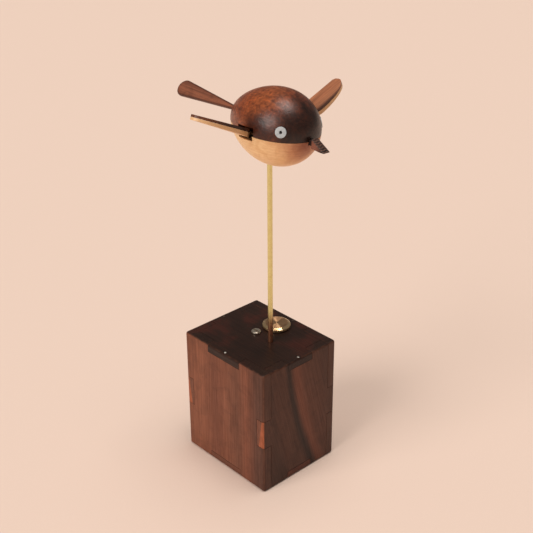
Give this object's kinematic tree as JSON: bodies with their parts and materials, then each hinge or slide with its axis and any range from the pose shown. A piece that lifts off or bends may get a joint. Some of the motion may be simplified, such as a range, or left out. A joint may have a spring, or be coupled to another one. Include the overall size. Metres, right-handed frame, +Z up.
{
  "type": "wind-up music box with a turning wooden bird",
  "caption": "Walnut box with finger joints holding a wind-up movement; a brass rod from its lid carries a turning wooden bird with hinged wings.",
  "frame": {"origin": "the middle of the box's underside", "axes": "+Z up along the rod; the bird faces -Y at rest; +X towards the winding knob's side, the bird's left"},
  "size_m": [0.1098, 0.1222, 0.2447],
  "materials": {
    "walnut_box": "oiled walnut, satin",
    "walnut_lid": "dark walnut, glossy",
    "rosewood": "polished red-brown hardwood",
    "maple": "pale maple, satin",
    "brass": "polished turned brass",
    "steel": "bright turned steel",
    "spring_steel": "blued spring steel",
    "eye_white": "pale grey gloss",
    "eye_black": "black gloss"
  },
  "bodies": {
    "case": {"box_wall_left": "walnut_box", "box_wall_right": "walnut_box", "box_wall_front": "walnut_box", "box_wall_back": "walnut_box", "box_lid": "walnut_lid", "box_floor": "walnut_box", "lid_pin_1": "steel", "lid_pin_2": "steel", "lid_pin_3": "steel", "lid_pin_4": "steel", "rod_bush": "brass", "winding_bush": "brass", "lid_screw": "steel", "upper_plate": "brass", "lower_plate": "brass", "frame_pillar_1": "brass", "frame_pillar_2": "brass", "frame_pillar_3": "brass", "frame_pillar_4": "brass", "comb": "spring_steel", "comb_bridge": "brass", "comb_screw_1": "steel", "comb_screw_2": "steel", "click_screw": "steel", "click_spring": "spring_steel"},
    "figure": {"figure_rod": "brass", "figure_gear": "brass", "bird_body_upper": "rosewood", "bird_body_lower": "maple", "body_dowel": "maple", "wing_left_pin": "steel", "wing_right_pin": "steel", "tail": "rosewood", "beak": "rosewood", "eye_ring_left": "eye_white", "eye_pupil_left": "eye_black", "eye_ring_right": "eye_white", "eye_pupil_right": "eye_black"},
    "wing_left": {"wing_left_walnut": "rosewood", "wing_left_maple": "maple"},
    "wing_right": {"wing_right_walnut": "rosewood", "wing_right_maple": "maple"},
    "winder": {"winding_knob": "brass", "winding_arbor": "steel", "winding_pinion": "steel"},
    "ratchet": {"ratchet_wheel": "steel", "barrel_arbor": "steel"},
    "click": {"click": "steel"},
    "barrel": {"barrel_drum": "brass", "barrel_cover": "brass", "mainspring": "spring_steel"},
    "cylinder": {"cylinder_arbor": "steel", "cylinder_pinion": "brass", "tune_cylinder": "brass", "cylinder_wheel": "brass"},
    "governor": {"governor_arbor": "steel", "governor_wheel": "brass"},
    "fly": {"fly_arbor": "steel", "fly_blade": "brass"}
  },
  "joints": [
    {"name": "figure_turn", "type": "hinge", "parent": "case", "child": "figure", "pos_m": [0, -0.0096, 0.084], "axis": [0, 0, 1], "continuous": true},
    {"name": "wing_left_flap", "type": "hinge", "parent": "figure", "child": "wing_left", "pos_m": [0.01728, -0.01233, 0.22102], "axis": [0.0062, -0.997, 0.0765], "range_deg": [-25, 3]},
    {"name": "wing_right_flap", "type": "hinge", "parent": "figure", "child": "wing_right", "pos_m": [-0.01745, -0.01239, 0.22309], "axis": [-0.0062, 0.997, -0.0765], "range_deg": [-25, 3]},
    {"name": "knob_turn", "type": "hinge", "parent": "case", "child": "winder", "pos_m": [0.015, 0.0009, 0.084], "axis": [0, 0, 1], "continuous": true},
    {"name": "ratchet_turn", "type": "hinge", "parent": "case", "child": "ratchet", "pos_m": [0.00924, 0.01255, 0.075], "axis": [0, 0, 1], "continuous": true},
    {"name": "click_lift", "type": "hinge", "parent": "case", "child": "click", "pos_m": [0.01543, 0.02421, 0.0746], "axis": [0, 0, 1], "range_deg": [0, 8], "stiffness_Nm_per_rad": 0.00005},
    {"name": "barrel_turn", "type": "hinge", "parent": "case", "child": "barrel", "pos_m": [0.00924, 0.01255, 0.058], "axis": [0, 0, 1], "continuous": true},
    {"name": "cylinder_turn", "type": "hinge", "parent": "case", "child": "cylinder", "pos_m": [-0.0087, 0.01412, 0.06], "axis": [0, 0, 1], "continuous": true},
    {"name": "governor_turn", "type": "hinge", "parent": "case", "child": "governor", "pos_m": [-0.01524, 0.00478, 0.06], "axis": [0, 0, 1], "continuous": true},
    {"name": "fly_turn", "type": "hinge", "parent": "case", "child": "fly", "pos_m": [-0.01797, -0.00274, 0.06], "axis": [0, 0, 1], "continuous": true}
  ],
  "couplings": [
    {"joint": "ratchet_turn", "follows": "knob_turn", "ratio": -0.625},
    {"joint": "barrel_turn", "follows": "figure_turn", "ratio": -1},
    {"joint": "cylinder_turn", "follows": "figure_turn", "ratio": 2},
    {"joint": "governor_turn", "follows": "figure_turn", "ratio": -7.5},
    {"joint": "fly_turn", "follows": "figure_turn", "ratio": 22.5}
  ]
}
